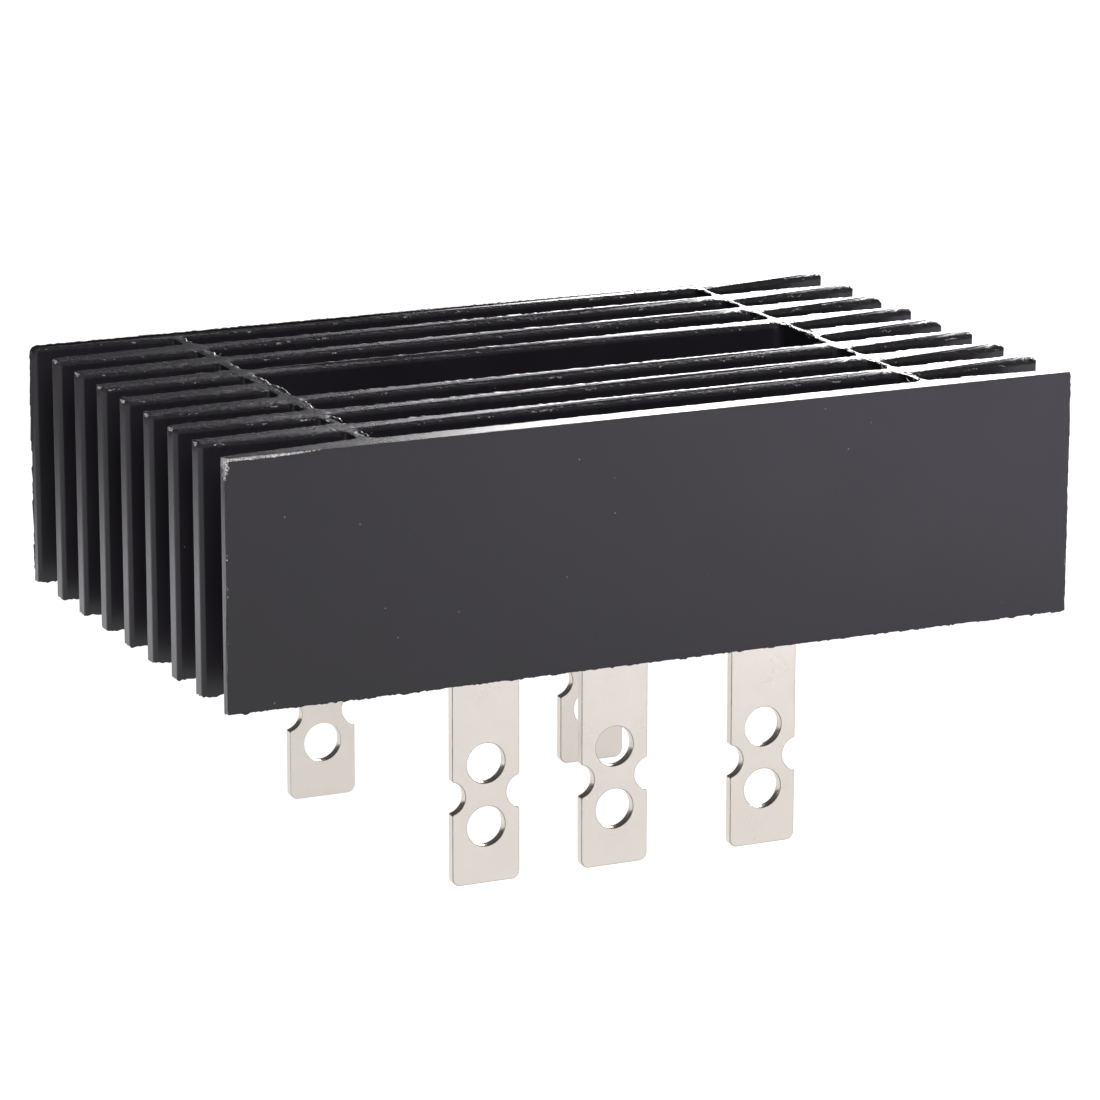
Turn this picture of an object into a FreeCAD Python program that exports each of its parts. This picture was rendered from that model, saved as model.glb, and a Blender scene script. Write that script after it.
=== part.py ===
import FreeCAD, Part
import math
import os
from FreeCAD import Vector

# Three phase bridge rectifier module: a finned heat sink with a diode bridge potted
# into its underside and five flat terminals that point down.
# X runs along the fins, -Y is the front, +Z is up. The origin lies under the middle of
# the module, on the surface that the five terminal ends stand on. Millimetres.

# Heat sink: one sawn length of an aluminium extrusion, extruded along Z
SINK_LENGTH = 110.0
SINK_HEIGHT = 30.0
FIN_COUNT = 9
FIN_PITCH = 7.95
RIB_THICKNESS = 2.7          # plates between the two cross walls
FIN_ROOT_THICKNESS = 4.1     # free fins where they leave a cross wall
FIN_TIP_THICKNESS = 2.6
FIN_TIP_RADIUS = 0.6
FIN_ROOT_RADIUS = 0.8
WALL_SPAN = 72.0             # between the inner faces of the two cross walls
WALL_THICKNESS = 1.2
CELL_CORNER_RADIUS = 1.2
MISSING_RIB = FIN_COUNT // 2  # no rib here between the walls, only the free fins outside

# Pocket milled into the underside, which takes the bridge and its potting
POCKET_DEPTH = 12.0
POTTING_RECESS = 1.0

# Layers of the bridge, from the roof of the pocket down
BASE_THICKNESS = 2.0
BASE_CLEARANCE = 0.3         # between the base plate and the pocket walls
INSULATOR_THICKNESS = 1.0
INSULATOR_MARGIN = 0.5       # base plate edge left bare round the ceramic sheet
CONDUCTOR_THICKNESS = 1.0
CONDUCTOR_MARGIN = 1.8       # ceramic edge left bare round the copper conductors
CONDUCTOR_GAP = 1.5
CONDUCTOR_CORNER_RADIUS = 0.8
AC_PAD_DEPTH = 24.0
NEGATIVE_BAR_DEPTH = 7.0
BUS_SHOULDER_DEPTH = 11.0    # part of the positive bus that carries the upper diodes

# Diodes: a square silicon chip soldered between two smaller contact plates
DIODE_SIDE = 8.0
DIODE_CHIP_THICKNESS = 0.6
DIODE_CONTACT_MARGIN = 0.5   # chip edge left bare round the contact plates
DIODE_CONTACT_THICKNESS = 0.4
DIODE_OFFSET = 5.0           # diodes and clips stand this far to each side of a pad's middle

# Clips: copper strip that joins the free face of a diode to the next conductor
CLIP_WIDTH = 5.0
CLIP_THICKNESS = 0.6
CLIP_BEND_RADIUS = 0.4
CLIP_FOOT_LENGTH = 5.0

# Terminals: flat nickel plated strip, bent outwards into a soldered foot
TERMINAL_WIDTH = 8.8
TERMINAL_THICKNESS = 1.2
TERMINAL_DROP = 28.8         # from the underside of the heat sink to the terminal ends
TERMINAL_BEND_RADIUS = 1.0
TERMINAL_FOOT_LENGTH = 7.0
TERMINAL_FOOT_MARGIN = 1.05  # from the foot's end to the outer edge of its conductor
TERMINAL_END_RADIUS = 1.0
SCREW_HOLE_DIAMETER = 5.0
SCREW_HOLE_SPACING = 7.9
SCREW_HOLE_EDGE = 7.1        # from the terminal's end to the middle of the lower hole
NOTCH_RADIUS = 2.1
NOTCH_OFFSET = 0.4           # notch centre outside the terminal's edge
NOTCH_CORNER_RADIUS = 0.3
AC_TERMINAL_OFFSETS = (5.4, -0.3, -2.9)  # along X, from the middle of each phase's pad
NEGATIVE_TERMINAL_INSET = 11.6           # along X, from the left end of the copper
POSITIVE_TERMINAL_INSET = 17.5           # along X, from the right end of the copper

# Heights that follow from the sizes above
SINK_BOTTOM = TERMINAL_DROP
POCKET_ROOF = SINK_BOTTOM + POCKET_DEPTH
BASE_FACE = POCKET_ROOF - BASE_THICKNESS
INSULATOR_FACE = BASE_FACE - INSULATOR_THICKNESS
CONDUCTOR_FACE = INSULATOR_FACE - CONDUCTOR_THICKNESS
DIODE_THICKNESS = DIODE_CHIP_THICKNESS + 2 * DIODE_CONTACT_THICKNESS
DIODE_FACE = CONDUCTOR_FACE - DIODE_THICKNESS
POTTING_FACE = SINK_BOTTOM + POTTING_RECESS

# Plan sizes that follow
SINK_DEPTH = (FIN_COUNT - 1) * FIN_PITCH + RIB_THICKNESS
POCKET_DEPTH_Y = SINK_DEPTH - 2 * RIB_THICKNESS
BASE_LENGTH = WALL_SPAN - 2 * BASE_CLEARANCE
BASE_DEPTH_Y = POCKET_DEPTH_Y - 2 * BASE_CLEARANCE
INSULATOR_LENGTH = BASE_LENGTH - 2 * INSULATOR_MARGIN
INSULATOR_DEPTH_Y = BASE_DEPTH_Y - 2 * INSULATOR_MARGIN
COPPER_LENGTH = INSULATOR_LENGTH - 2 * CONDUCTOR_MARGIN
COPPER_DEPTH_Y = INSULATOR_DEPTH_Y - 2 * CONDUCTOR_MARGIN
AC_PAD_COUNT = len(AC_TERMINAL_OFFSETS)
AC_PAD_PITCH = (COPPER_LENGTH + CONDUCTOR_GAP) / AC_PAD_COUNT
AC_PAD_LENGTH = AC_PAD_PITCH - CONDUCTOR_GAP

# Conductor edges from front to back
AC_PAD_FRONT = -COPPER_DEPTH_Y / 2
AC_PAD_BACK = AC_PAD_FRONT + AC_PAD_DEPTH
NEGATIVE_BAR_FRONT = AC_PAD_BACK + CONDUCTOR_GAP
NEGATIVE_BAR_BACK = NEGATIVE_BAR_FRONT + NEGATIVE_BAR_DEPTH
BUS_FRONT = NEGATIVE_BAR_BACK + CONDUCTOR_GAP
BUS_SHOULDER_BACK = BUS_FRONT + BUS_SHOULDER_DEPTH
BUS_BACK = COPPER_DEPTH_Y / 2

# Terminals: rows at equal distances from the middle, places along X
TERMINAL_ROW_Y = (COPPER_DEPTH_Y / 2 - TERMINAL_FOOT_MARGIN - TERMINAL_FOOT_LENGTH
                  + TERMINAL_THICKNESS / 2)
NEGATIVE_TERMINAL_X = -COPPER_LENGTH / 2 + NEGATIVE_TERMINAL_INSET
POSITIVE_TERMINAL_X = COPPER_LENGTH / 2 - POSITIVE_TERMINAL_INSET

# Rows of diodes and clip landings
LOWER_DIODE_Y = AC_PAD_BACK - CONDUCTOR_GAP - DIODE_SIDE / 2
NEGATIVE_LANDING_Y = (NEGATIVE_BAR_FRONT + NEGATIVE_BAR_BACK) / 2
UPPER_DIODE_Y = (BUS_FRONT + BUS_SHOULDER_BACK) / 2


def rounded_face(corners, place):
    """Flat face with the given corners (u, v, radius), mapped to space by place(u, v)."""
    edges = []
    starts = []
    ends = []
    for index, (u, v, radius) in enumerate(corners):
        here = Vector(u, v, 0)
        before = Vector(*corners[index - 1][:2], 0) - here
        after = Vector(*corners[(index + 1) % len(corners)][:2], 0) - here
        before.normalize()
        after.normalize()
        half = before.getAngle(after) / 2
        cut_back = radius / math.tan(half)
        start = here + before * cut_back
        end = here + after * cut_back
        if radius > 0:
            centre = here + (before + after).normalize() * (radius / math.sin(half))
            middle = centre + (here - centre).normalize() * radius
            points = [place(point.x, point.y) for point in (start, middle, end)]
            edges.append(Part.Arc(*points).toShape())
        starts.append(start)
        ends.append(end)
    for index, end in enumerate(ends):
        start = starts[(index + 1) % len(starts)]
        if (start - end).Length > 1e-6:
            edges.append(Part.makeLine(place(end.x, end.y), place(start.x, start.y)))
    return Part.Face(Part.Wire(Part.__sortEdges__(edges)))


def plate(corners, bottom, thickness):
    """Flat piece with an outline in plan."""
    face = rounded_face(corners, lambda u, v: Vector(u, v, bottom))
    return face.extrude(Vector(0, 0, thickness))


def rectangle(left, front, right, back, radius):
    """Corners of a rectangle with equal corner radii."""
    return [(left, front, radius), (right, front, radius),
            (right, back, radius), (left, back, radius)]


def centred_rectangle(length, depth, radius):
    """Corners of a rectangle about the middle of the module."""
    return rectangle(-length / 2, -depth / 2, length / 2, depth / 2, radius)


def bent_strip(path, thickness, bend_radius, middle, width, outward=1):
    """Strip of even thickness that follows a bent path of (y, z), wide along X.

    The metal lies to the left of the path. Each bend has bend_radius inside."""
    directions = [Vector(b[0] - a[0], b[1] - a[1], 0).normalize() for a, b in zip(path, path[1:])]
    normals = [Vector(-direction.y, direction.x, 0) for direction in directions]
    near = [(*path[0], 0)]
    far = [(path[0][0] + normals[0].x * thickness, path[0][1] + normals[0].y * thickness, 0)]
    for index in range(1, len(path) - 1):
        first, second = normals[index - 1], normals[index]
        mitre = (first + second) * (thickness / (1 + first.dot(second)))
        left_turn = first.x * second.y - first.y * second.x > 0
        inner, outer = bend_radius, bend_radius + thickness
        near.append((*path[index], outer if left_turn else inner))
        far.append((path[index][0] + mitre.x, path[index][1] + mitre.y,
                    inner if left_turn else outer))
    near.append((*path[-1], 0))
    far.append((path[-1][0] + normals[-1].x * thickness,
                path[-1][1] + normals[-1].y * thickness, 0))
    left = middle - width / 2
    face = rounded_face(near + far[::-1], lambda u, v: Vector(left, outward * u, v))
    return face.extrude(Vector(width, 0, 0))


def fin_line(index):
    """Y of the middle of a fin or rib."""
    return (index - (FIN_COUNT - 1) / 2) * FIN_PITCH


def comb_side():
    """Outline of the free fins on the right, from the front plate to the back plate.

    Each fin is thickest at its root and thins towards its tip. The outer faces of the
    front and back plates stay flat and end in sharp corners."""
    root_x = WALL_SPAN / 2 + WALL_THICKNESS
    tip_x = SINK_LENGTH / 2
    corners = [(tip_x, -SINK_DEPTH / 2, 0)]
    for index in range(FIN_COUNT):
        middle = fin_line(index)
        if index > 0:
            corners.append((root_x, middle - FIN_ROOT_THICKNESS / 2, FIN_ROOT_RADIUS))
            corners.append((tip_x, middle - FIN_TIP_THICKNESS / 2, FIN_TIP_RADIUS))
        if index < FIN_COUNT - 1:
            corners.append((tip_x, middle + FIN_TIP_THICKNESS / 2, FIN_TIP_RADIUS))
            corners.append((root_x, middle + FIN_ROOT_THICKNESS / 2, FIN_ROOT_RADIUS))
    corners.append((tip_x, SINK_DEPTH / 2, 0))
    return corners


def cells():
    """Front and back edges of the closed cells between the ribs."""
    ribs = [index for index in range(FIN_COUNT) if index != MISSING_RIB]
    return [(fin_line(a) + RIB_THICKNESS / 2, fin_line(b) - RIB_THICKNESS / 2)
            for a, b in zip(ribs, ribs[1:])]


def pocket(depth):
    """Room in the underside up to the milled ends of the ribs."""
    outline = centred_rectangle(WALL_SPAN, POCKET_DEPTH_Y, CELL_CORNER_RADIUS)
    return plate(outline, POCKET_ROOF - depth, depth)


def heat_sink():
    """Extruded comb of fins with two cross walls, sawn to length, pocket milled below."""
    right = comb_side()
    left = [(-x, y, radius) for x, y, radius in reversed(right)]
    body = plate(right + left, SINK_BOTTOM, SINK_HEIGHT)
    half_span = WALL_SPAN / 2
    for front, back in cells():
        outline = rectangle(-half_span, front, half_span, back, CELL_CORNER_RADIUS)
        body = body.cut(plate(outline, SINK_BOTTOM, SINK_HEIGHT))
    return body.cut(pocket(POCKET_DEPTH))


def base_plate():
    """Flat plate that closes the cells and spreads the heat of the diodes to the ribs."""
    corner = CELL_CORNER_RADIUS - BASE_CLEARANCE
    return plate(centred_rectangle(BASE_LENGTH, BASE_DEPTH_Y, corner), BASE_FACE, BASE_THICKNESS)


def insulating_sheet():
    """Square cut ceramic sheet between the base plate and the live copper."""
    outline = centred_rectangle(INSULATOR_LENGTH, INSULATOR_DEPTH_Y, 0)
    return plate(outline, INSULATOR_FACE, INSULATOR_THICKNESS)


def conductor(corners):
    """Copper conductor bonded to the ceramic sheet."""
    return plate(corners, CONDUCTOR_FACE, CONDUCTOR_THICKNESS)


def pad_middle(phase):
    """X of the middle of a phase's pad."""
    return (phase - (AC_PAD_COUNT - 1) / 2) * AC_PAD_PITCH


def ac_pad(phase):
    """Pad that joins one alternating current terminal, one lower diode and one clip."""
    middle = pad_middle(phase)
    half = AC_PAD_LENGTH / 2
    return conductor(rectangle(middle - half, AC_PAD_FRONT, middle + half, AC_PAD_BACK,
                               CONDUCTOR_CORNER_RADIUS))


def terminal_shelf_right():
    """Right edge of the shelf under the negative terminal's foot."""
    return NEGATIVE_TERMINAL_X + TERMINAL_WIDTH / 2 + CONDUCTOR_GAP


def negative_bar():
    """Bar across the three phases, with an arm to the negative terminal at the back."""
    left = -COPPER_LENGTH / 2
    right = COPPER_LENGTH / 2
    arm_right = upper_diode_x(0) - DIODE_SIDE / 2 - 2 * CONDUCTOR_GAP
    shelf_right = terminal_shelf_right()
    shelf_front = BUS_SHOULDER_BACK + CONDUCTOR_GAP
    radius = CONDUCTOR_CORNER_RADIUS
    return conductor([
        (left, NEGATIVE_BAR_FRONT, radius), (right, NEGATIVE_BAR_FRONT, radius),
        (right, NEGATIVE_BAR_BACK, radius), (arm_right, NEGATIVE_BAR_BACK, radius),
        (arm_right, shelf_front, radius), (shelf_right, shelf_front, radius),
        (shelf_right, BUS_BACK, radius), (left, BUS_BACK, radius)])


def positive_bus():
    """Bus that carries the three upper diodes and the positive terminal."""
    left = upper_diode_x(0) - DIODE_SIDE / 2 - CONDUCTOR_GAP
    right = COPPER_LENGTH / 2
    step = terminal_shelf_right() + CONDUCTOR_GAP
    radius = CONDUCTOR_CORNER_RADIUS
    return conductor([
        (left, BUS_FRONT, radius), (right, BUS_FRONT, radius), (right, BUS_BACK, radius),
        (step, BUS_BACK, radius), (step, BUS_SHOULDER_BACK, radius),
        (left, BUS_SHOULDER_BACK, radius)])


def lower_diode_x(phase):
    """X of the diode that sits on a phase's pad."""
    return pad_middle(phase) - DIODE_OFFSET


def upper_diode_x(phase):
    """X of the diode on the positive bus that feeds from a phase's pad."""
    return pad_middle(phase) + DIODE_OFFSET


def diode(x, y):
    """Square chip between two contact plates, hanging from a conductor."""
    chip_half = DIODE_SIDE / 2
    chip = plate(rectangle(x - chip_half, y - chip_half, x + chip_half, y + chip_half, 0),
                 DIODE_FACE + DIODE_CONTACT_THICKNESS, DIODE_CHIP_THICKNESS)
    half = chip_half - DIODE_CONTACT_MARGIN
    contacts = plate(rectangle(x - half, y - half, x + half, y + half, 0),
                     DIODE_FACE, DIODE_THICKNESS)
    return chip.fuse(contacts)


def clip(x, diode_y, landing_y):
    """Strip from the free face of a diode, stepped up to a conductor nearer the front
    or back."""
    outward = 1 if landing_y > diode_y else -1
    start = outward * diode_y - CLIP_FOOT_LENGTH / 2
    landing_end = outward * landing_y + CLIP_FOOT_LENGTH / 2
    landing_start = landing_end - CLIP_FOOT_LENGTH
    step_start = landing_start - DIODE_THICKNESS
    path = [(start, DIODE_FACE - CLIP_THICKNESS), (step_start, DIODE_FACE - CLIP_THICKNESS),
            (landing_start, CONDUCTOR_FACE - CLIP_THICKNESS),
            (landing_end, CONDUCTOR_FACE - CLIP_THICKNESS)]
    return bent_strip(path, CLIP_THICKNESS, CLIP_BEND_RADIUS, x, CLIP_WIDTH, outward)


def terminal_blank(x):
    """Front outline of a terminal: rounded end, two screw holes, a notch in each edge."""
    reach = COPPER_DEPTH_Y
    half = TERMINAL_WIDTH / 2
    corners = [(x - half, 0, TERMINAL_END_RADIUS), (x + half, 0, TERMINAL_END_RADIUS),
               (x + half, CONDUCTOR_FACE, 0), (x - half, CONDUCTOR_FACE, 0)]
    blank = rounded_face(corners, lambda u, v: Vector(u, -reach, v)).extrude(Vector(0, 2 * reach, 0))
    across = Vector(0, 1, 0)
    notch_z = SCREW_HOLE_EDGE + SCREW_HOLE_SPACING / 2
    for side in (-1, 1):
        notch_x = x + side * (half + NOTCH_OFFSET)
        blank = blank.cut(Part.makeCylinder(NOTCH_RADIUS, 2 * reach,
                                            Vector(notch_x, -reach, notch_z), across))
    notch_edges = [edge for edge in blank.Edges
                   if edge.Length > reach and all(
                       abs(vertex.Z - notch_z) < NOTCH_RADIUS for vertex in edge.Vertexes)]
    blank = blank.makeFillet(NOTCH_CORNER_RADIUS, notch_edges)
    for row in range(2):
        hole_z = SCREW_HOLE_EDGE + row * SCREW_HOLE_SPACING
        blank = blank.cut(Part.makeCylinder(SCREW_HOLE_DIAMETER / 2, 2 * reach,
                                            Vector(x, -reach, hole_z), across))
    return blank


def terminal(x, outward):
    """Strip that hangs down from its conductor; its foot points outwards (-1 front, 1 back)."""
    inner_y = TERMINAL_ROW_Y - TERMINAL_THICKNESS / 2
    path = [(inner_y + TERMINAL_FOOT_LENGTH, CONDUCTOR_FACE), (inner_y, CONDUCTOR_FACE),
            (inner_y, 0)]
    strip = bent_strip(path, TERMINAL_THICKNESS, TERMINAL_BEND_RADIUS, x, TERMINAL_WIDTH, outward)
    return strip.common(terminal_blank(x))


def build():
    """Every piece of the module, by name."""
    pieces = {"heat_sink": heat_sink(), "base_plate": base_plate(),
              "insulating_sheet": insulating_sheet(),
              "negative_bar": negative_bar(), "positive_bus": positive_bus(),
              "terminal_negative": terminal(NEGATIVE_TERMINAL_X, 1),
              "terminal_positive": terminal(POSITIVE_TERMINAL_X, 1)}
    for phase, offset in enumerate(AC_TERMINAL_OFFSETS):
        number = phase + 1
        pieces[f"ac_pad_{number}"] = ac_pad(phase)
        pieces[f"terminal_ac_{number}"] = terminal(pad_middle(phase) + offset, -1)
        lower_x = lower_diode_x(phase)
        upper_x = upper_diode_x(phase)
        pieces[f"lower_diode_{number}"] = diode(lower_x, LOWER_DIODE_Y)
        pieces[f"lower_clip_{number}"] = clip(lower_x, LOWER_DIODE_Y, NEGATIVE_LANDING_Y)
        pieces[f"upper_diode_{number}"] = diode(upper_x, UPPER_DIODE_Y)
        pieces[f"upper_clip_{number}"] = clip(upper_x, UPPER_DIODE_Y, LOWER_DIODE_Y)
    inner = [shape for name, shape in pieces.items() if name != "heat_sink"]
    pieces["potting"] = pocket(POCKET_ROOF - POTTING_FACE).cut(inner)
    return pieces


os.makedirs("parts", exist_ok=True)
for node, shape in build().items():
    shape.exportStep(f"parts/{node}.step")
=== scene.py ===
import math
import random

import bpy
from mathutils import Matrix, Vector, noise


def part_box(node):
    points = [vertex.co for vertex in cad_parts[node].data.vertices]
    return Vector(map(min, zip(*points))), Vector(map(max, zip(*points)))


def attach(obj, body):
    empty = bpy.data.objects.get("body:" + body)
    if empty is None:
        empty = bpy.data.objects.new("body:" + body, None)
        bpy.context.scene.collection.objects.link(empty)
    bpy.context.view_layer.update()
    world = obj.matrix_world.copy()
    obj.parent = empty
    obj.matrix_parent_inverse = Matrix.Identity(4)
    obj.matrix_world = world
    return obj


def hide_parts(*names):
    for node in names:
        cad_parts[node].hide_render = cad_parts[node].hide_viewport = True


# A three phase bridge rectifier module: a black painted, sawn length of finned aluminium
# with a diode bridge potted into its underside and five nickel plated terminals below.
# Metres, +Z up, front at -Y, terminal ends on the floor at z = 0.

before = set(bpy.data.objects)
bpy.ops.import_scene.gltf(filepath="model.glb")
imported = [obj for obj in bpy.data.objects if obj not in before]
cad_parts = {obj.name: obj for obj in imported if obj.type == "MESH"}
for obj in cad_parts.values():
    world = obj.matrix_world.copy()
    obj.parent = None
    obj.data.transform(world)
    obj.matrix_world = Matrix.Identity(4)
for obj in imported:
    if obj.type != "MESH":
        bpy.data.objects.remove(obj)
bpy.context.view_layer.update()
MM = 0.001
TINY = 0.002 * MM


# Camera: a long lens, a little above the fins and to the left, so that the ends of the
# nine fins stand beside the broad front plate.
CAMERA_PLACE = Vector((-259.0, -560.9, 194.5)) * MM
CAMERA_TURN = math.radians(-24.85)
CAMERA_RISE = math.radians(14.515)
CAMERA_ROLL = math.radians(0.07)
LENS = 168.8
SENSOR = 36.0

camera_data = bpy.data.cameras.new("product_camera")
camera_data.lens = LENS
camera_data.sensor_width = SENSOR
camera = bpy.data.objects.new("product_camera", camera_data)
bpy.context.scene.collection.objects.link(camera)
camera.matrix_world = (Matrix.Translation(CAMERA_PLACE) @ Matrix.Rotation(CAMERA_TURN, 4, "Z")
                       @ Matrix.Rotation(math.pi / 2 - CAMERA_RISE, 4, "X")
                       @ Matrix.Rotation(CAMERA_ROLL, 4, "Z"))
bpy.context.scene.camera = camera


# Heat sink: one length of an aluminium extrusion, painted satin black and sawn off.
# Nine plates and two thin cross walls in one piece. The saw leaves ragged arrises,
# where the paint has chipped off at the corners.
SAW_GRAIN = 0.33 * MM            # most that lies between two ragged points of a sawn arris
ARRIS_BAND = 0.25 * MM           # width of each of the two rings round a sawn face
SHOULDER_BAND = 0.6 * MM         # reach of the wear below the upper arris
BURR_BAND = 0.25 * MM            # reach of the burr above the lower arris
BODY_BAND = 1.3 * MM             # beyond this from either end the plates are flat
TIP_BAND = 0.35 * MM             # reach of the wear from the free ends of the outer plates
FIN_PITCH = 7.95 * MM
RIB_HALF = 1.35 * MM
WALL_MIDDLE = 36.6 * MM
WALL_HALF = 0.6 * MM
ROOT_REACH = 4.5 * MM            # from the middle of a wall to the end of the fillets of the fins

# Damaged upper corners: side along X, plate counted from the middle one towards the back,
# and reach along X, Y and Z in mm. The chipped ones show bare metal.
CHIPPED = ((-1, -4, 0.34, 1.2, 3.2), (-1, -3, 0.4, 0.8, 0.4), (-1, -2, 0.5, 1.0, 0.5),
           (-1, -1, 0.5, 0.9, 0.6), (-1, 0, 0.4, 1.0, 0.4), (-1, 1, 0.4, 0.8, 0.3),
           (-1, 2, 0.5, 1.0, 0.4), (-1, 3, 0.4, 1.1, 0.4), (-1, 4, 0.4, 0.6, 0.6))
# Upper corners worn round: side along X, plate, and radius in mm.
ROUNDED = ((1, -4, 0.4), (1, 0, 0.9), (1, 2, 0.9), (-1, 4, 0.9))
# Share by which the front and back plates thin out, on their inner side, from the cross
# walls to their free ends.
OUTER_TIP_LOSS = 0.42


def colour(code):
    """Linear colour of an sRGB hex code."""
    channels = [int(code[start:start + 2], 16) / 255 for start in (1, 3, 5)]
    linear = [c / 12.92 if c <= 0.04045 else ((c + 0.055) / 1.055) ** 2.4 for c in channels]
    return (*linear, 1.0)


def add(tree, kind, inputs=None, **settings):
    """Adds a shader node. Inputs are values or other nodes' outputs, by socket."""
    node = tree.nodes.new("ShaderNode" + kind)
    for name, value in settings.items():
        setattr(node, name, value)
    for socket, value in (inputs or {}).items():
        if isinstance(value, bpy.types.NodeSocket):
            tree.links.new(value, node.inputs[socket])
        else:
            node.inputs[socket].default_value = value
    return node


def new_material(name):
    """Empty node material and its tree."""
    material = bpy.data.materials.new(name)
    material.use_nodes = True
    material.node_tree.nodes.clear()
    return material, material.node_tree


def work_on(piece):
    """Makes one object the only selected and the active one."""
    for other in bpy.context.selected_objects:
        other.select_set(False)
    piece.select_set(True)
    bpy.context.view_layer.objects.active = piece


def select_faces(piece, wanted):
    """Selects the faces for which wanted(face) is true, and stays in edit mode."""
    bpy.ops.object.mode_set(mode="EDIT")
    bpy.ops.mesh.select_mode(type="FACE")
    bpy.ops.mesh.select_all(action="DESELECT")
    bpy.ops.object.mode_set(mode="OBJECT")
    for face in piece.data.polygons:
        face.select = wanted(face)
    bpy.ops.object.mode_set(mode="EDIT")


def merged_copy(node, name):
    """Closed copy of a CAD node, with its upright flat faces joined up again."""
    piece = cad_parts[node].copy()
    piece.data = piece.data.copy()
    piece.name = piece.data.name = name
    piece.parent = None
    for key in list(piece.keys()):
        del piece[key]
    bpy.context.scene.collection.objects.link(piece)
    piece.data.materials.clear()
    work_on(piece)
    bpy.ops.mesh.customdata_custom_splitnormals_clear()
    bpy.ops.object.mode_set(mode="EDIT")
    bpy.ops.mesh.select_all(action="SELECT")
    bpy.ops.mesh.remove_doubles(threshold=TINY)
    select_faces(piece, lambda face: abs(face.normal.z) < 0.5)
    bpy.ops.mesh.dissolve_limited(angle_limit=math.radians(1))
    bpy.ops.object.mode_set(mode="OBJECT")
    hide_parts(node)
    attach(piece, "root")
    return piece


def even_shading(piece, angle, flat=lambda face: False):
    """Smooth within an angle, led by the large faces; those for which flat(face) stay flat."""
    work_on(piece)
    bpy.ops.object.shade_smooth_by_angle(angle=math.radians(angle))
    for face in piece.data.polygons:
        if flat(face):
            face.use_smooth = False
    weighted = piece.modifiers.new("even_shading", "WEIGHTED_NORMAL")
    weighted.keep_sharp = True
    bpy.ops.object.modifier_apply(modifier="even_shading")


def weigh(piece, name, weight):
    """Vertex group whose weights come from weight(index, place)."""
    group = piece.vertex_groups.new(name=name)
    for point in piece.data.vertices:
        share = weight(point.index, point.co)
        if share > 0:
            group.add([point.index], share, "REPLACE")
    return name


def roughen(piece, name, group, grain, height, middle, direction="NORMAL", contrast=2.0):
    """Displaces the points of a vertex group by a fine cloud pattern, for good."""
    clouds = bpy.data.textures.new(name, "CLOUDS")
    clouds.noise_scale = grain
    clouds.noise_depth = 3
    clouds.contrast = contrast
    modifier = piece.modifiers.new(name, "DISPLACE")
    modifier.texture = clouds
    modifier.texture_coords = "LOCAL"
    modifier.vertex_group = group
    modifier.strength = height
    modifier.mid_level = middle
    modifier.direction = direction
    work_on(piece)
    bpy.ops.object.modifier_apply(modifier=name)


sink = merged_copy("heat_sink", "sawn_heat_sink")
sink_low, sink_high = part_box("heat_sink")
ends = (sink_low.z, sink_high.z)


def on_plate_face(place):
    """Point on the outer face of the front or back plate."""
    return abs(place.y) > sink_high.y - TINY


levels = (sink_high.z - SHOULDER_BAND, sink_high.z - BODY_BAND,
          sink_low.z + BURR_BAND, sink_low.z + BODY_BAND)
for level in levels:
    bpy.ops.object.mode_set(mode="EDIT")
    bpy.ops.mesh.select_all(action="SELECT")
    bpy.ops.mesh.bisect(plane_co=(0, 0, level), plane_no=(0, 0, 1))
    bpy.ops.object.mode_set(mode="OBJECT")
for side in (-1, 1):
    select_faces(sink, lambda face: on_plate_face(face.center))
    bpy.ops.mesh.bisect(plane_co=(side * (sink_high.x - TIP_BAND), 0, 0), plane_no=(1, 0, 0))
    bpy.ops.object.mode_set(mode="OBJECT")


def sawn_face(face):
    """Face in the plane of one of the two sawn ends."""
    return abs(face.normal.z) > 0.9 and min(abs(face.center.z - end) for end in ends) < TINY


# The outline of the sawn ends and the rings below it get a ragged point every SAW_GRAIN;
# so do the upright corners at the free ends of the front and back plates.
def too_long(edge, points):
    """Edge of those rings or corners that is still too long."""
    start, end = (points[index].co for index in edge.vertices)
    if abs(start.z - end.z) > TINY:
        at_tip = on_plate_face(start) and abs(start.x) > sink_high.x - TIP_BAND - TINY
        middle = (start.z + end.z) / 2
        return (at_tip and sink_low.z + BODY_BAND < middle < sink_high.z - BODY_BAND
                and abs(start.z - end.z) > SAW_GRAIN)
    return (start - end).length > SAW_GRAIN and (
        edge.select or min(abs(start.z - level) for level in levels) < TINY)


while True:
    select_faces(sink, sawn_face)
    bpy.ops.mesh.region_to_loop()
    bpy.ops.object.mode_set(mode="OBJECT")
    long_edges = [edge.index for edge in sink.data.edges if too_long(edge, sink.data.vertices)]
    if not long_edges:
        break
    bpy.ops.object.mode_set(mode="EDIT")
    bpy.ops.mesh.select_mode(type="EDGE")
    bpy.ops.mesh.select_all(action="DESELECT")
    bpy.ops.object.mode_set(mode="OBJECT")
    for index in long_edges:
        sink.data.edges[index].select = True
    bpy.ops.object.mode_set(mode="EDIT")
    bpy.ops.mesh.subdivide(number_cuts=1)
select_faces(sink, sawn_face)
for ring in range(2):
    bpy.ops.mesh.inset(thickness=ARRIS_BAND, use_even_offset=False)
bpy.ops.mesh.select_all(action="SELECT")
bpy.ops.mesh.quads_convert_to_tris(ngon_method="BEAUTY")
bpy.ops.object.mode_set(mode="OBJECT")


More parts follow.
